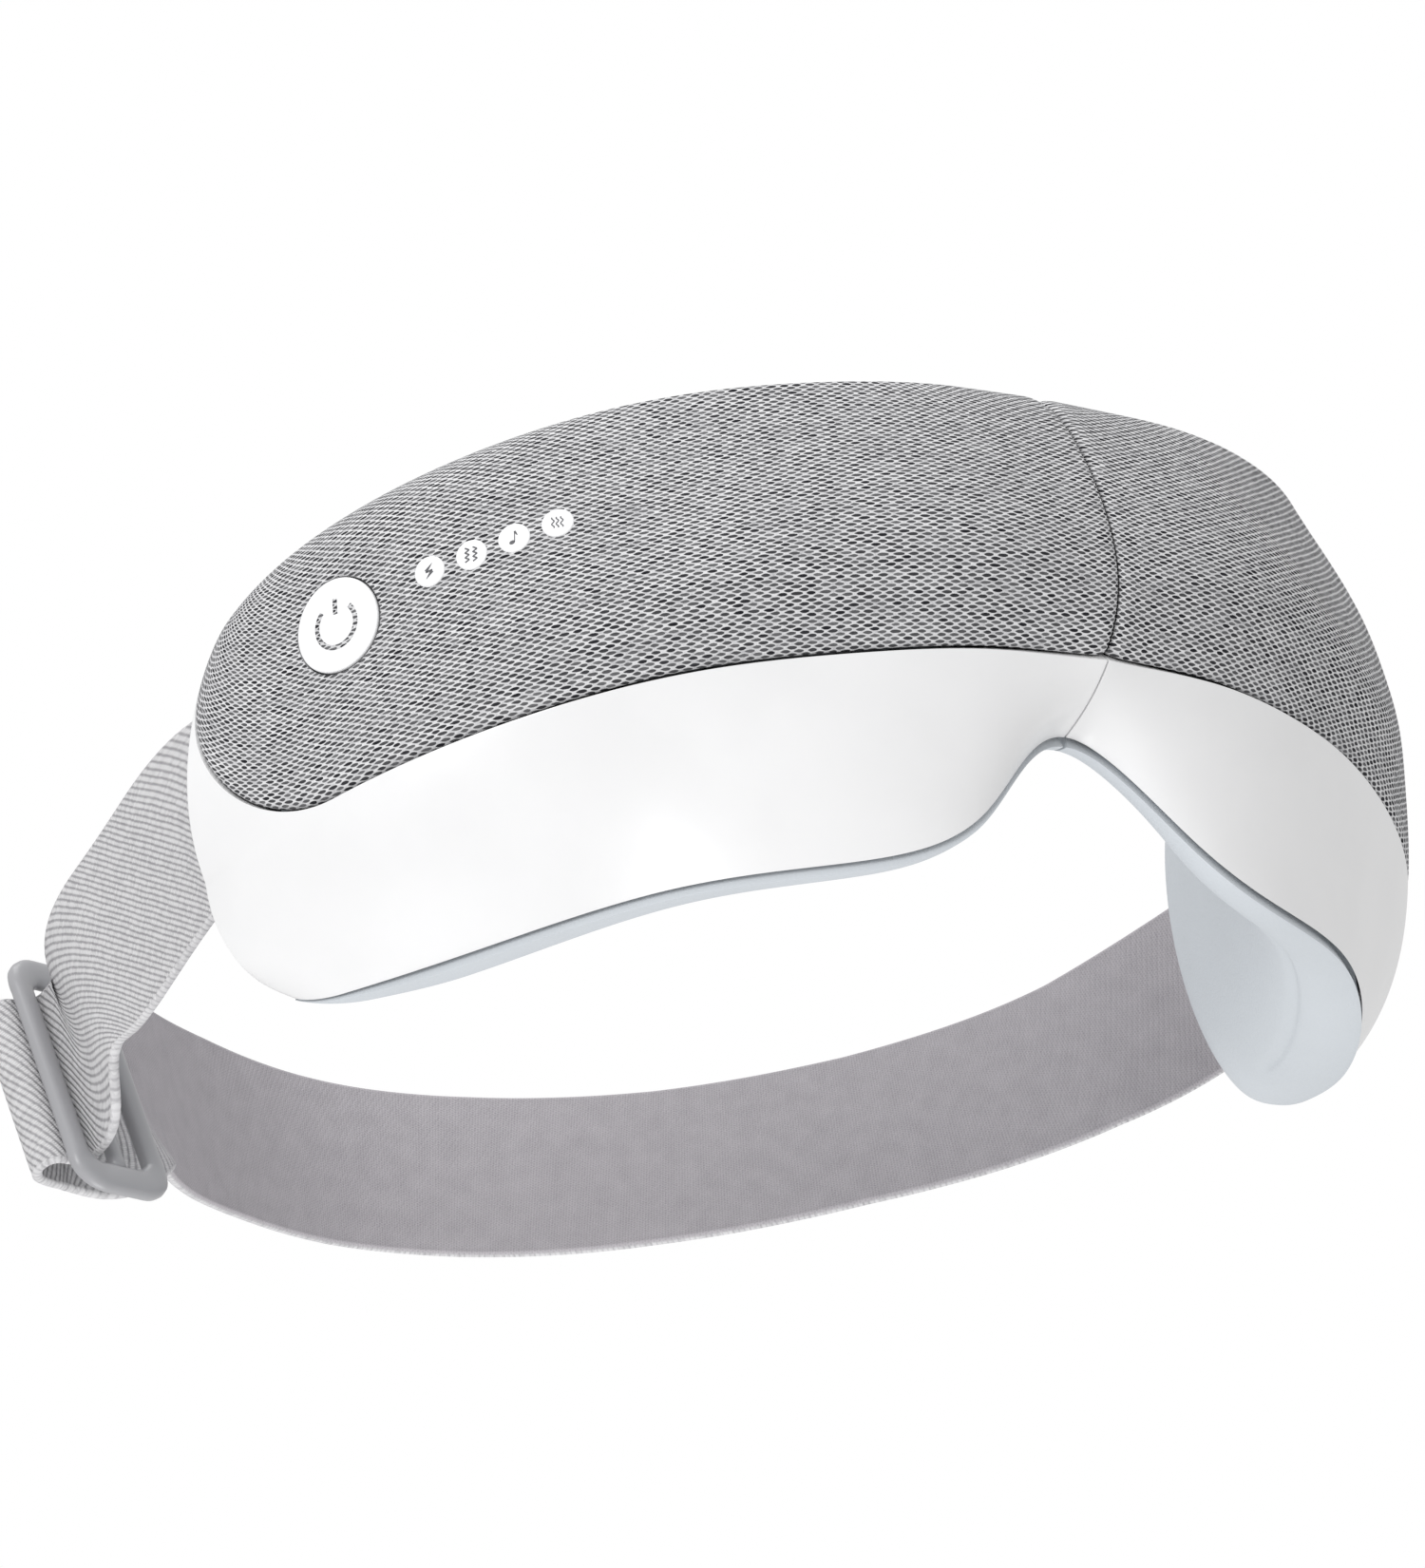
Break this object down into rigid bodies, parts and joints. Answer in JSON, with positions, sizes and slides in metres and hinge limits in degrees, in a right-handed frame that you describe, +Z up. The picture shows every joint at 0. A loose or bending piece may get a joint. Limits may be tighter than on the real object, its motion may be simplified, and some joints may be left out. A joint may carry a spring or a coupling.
{
  "type": "eye massager mask",
  "caption": "Foldable heated eye massager mask with a fabric front, padded rear cushions and an elastic head strap on a sliding buckle.",
  "frame": {"origin": "on the front seam between the two halves, where the fabric front meets the glossy lower shell, over the bridge of the nose", "axes": "+X across the face, with the power button at -X; -Y is the front of the mask and +Y points back to the head; +Z is up"},
  "size_m": [0.2022, 0.1844, 0.087],
  "materials": {
    "knit_fabric": "heathered knit",
    "shell_gloss_white": "gloss",
    "carrier_plastic": "moulded",
    "frame_plastic": "moulded",
    "cushion_leather": "smooth soft leatherette",
    "bladder": "satin",
    "heating_film": "printed film",
    "strap_webbing": "elastic twill",
    "buckle_plastic": "satin",
    "button_white": "satin",
    "circuit_board": "solder mask",
    "cell_foil": "foil",
    "steel": "bright",
    "dark_plastic": "moulded"
  },
  "bodies": {
    "right_half": {"airbag_right": "bladder", "battery": "cell_foil", "charge_board": "circuit_board", "charging_port": "steel", "cushion_right": "cushion_leather", "end_cap_right": "frame_plastic", "fabric_cover_right": "knit_fabric", "frame_screw_right_1": "steel", "frame_screw_right_2": "steel", "front_carrier_right": "carrier_plastic", "heating_film_right": "heating_film", "hinge_bracket_right": "steel", "hinge_pin": "steel", "lower_shell_right": "shell_gloss_white", "rear_frame_right": "frame_plastic", "speaker_right": "dark_plastic", "strap_anchor_right": "steel", "strap_back": "strap_webbing", "vibration_motor_right": "steel"},
    "left_half": {"air_pump": "dark_plastic", "airbag_left": "bladder", "charge_window": "button_white", "cushion_left": "cushion_leather", "end_cap_left": "frame_plastic", "fabric_cover_left": "knit_fabric", "frame_screw_left_1": "steel", "frame_screw_left_2": "steel", "front_carrier_left": "carrier_plastic", "heat_window": "button_white", "heating_film_left": "heating_film", "hinge_bracket_left": "steel", "lower_shell_left": "shell_gloss_white", "main_board": "circuit_board", "music_window": "button_white", "rear_frame_left": "frame_plastic", "release_valve": "dark_plastic", "speaker_left": "dark_plastic", "strap_anchor_left": "steel", "strap_side": "strap_webbing", "tact_switch": "dark_plastic", "vibration_motor_left": "steel", "vibration_window": "button_white"},
    "power_button": {"power_button": "button_white"},
    "buckle": {"buckle": "buckle_plastic", "strap_fold": "strap_webbing"}
  },
  "joints": [
    {"name": "fold_hinge", "type": "hinge", "parent": "right_half", "child": "left_half", "pos_m": [0, 0.014, 0.015], "axis": [0, 0, -1], "range_deg": [0, 70], "deforming": ["strap_back"]},
    {"name": "power_button_press", "type": "slide", "parent": "left_half", "child": "power_button", "axis": [0.911, 0.4122, -0.015], "range_m": [0, 0.0006], "stiffness_N_per_m": 2000},
    {"name": "buckle_slide", "type": "slide", "parent": "left_half", "child": "buckle", "axis": [0.9507, 0.3102, 0], "range_m": [0, 0.006]}
  ]
}
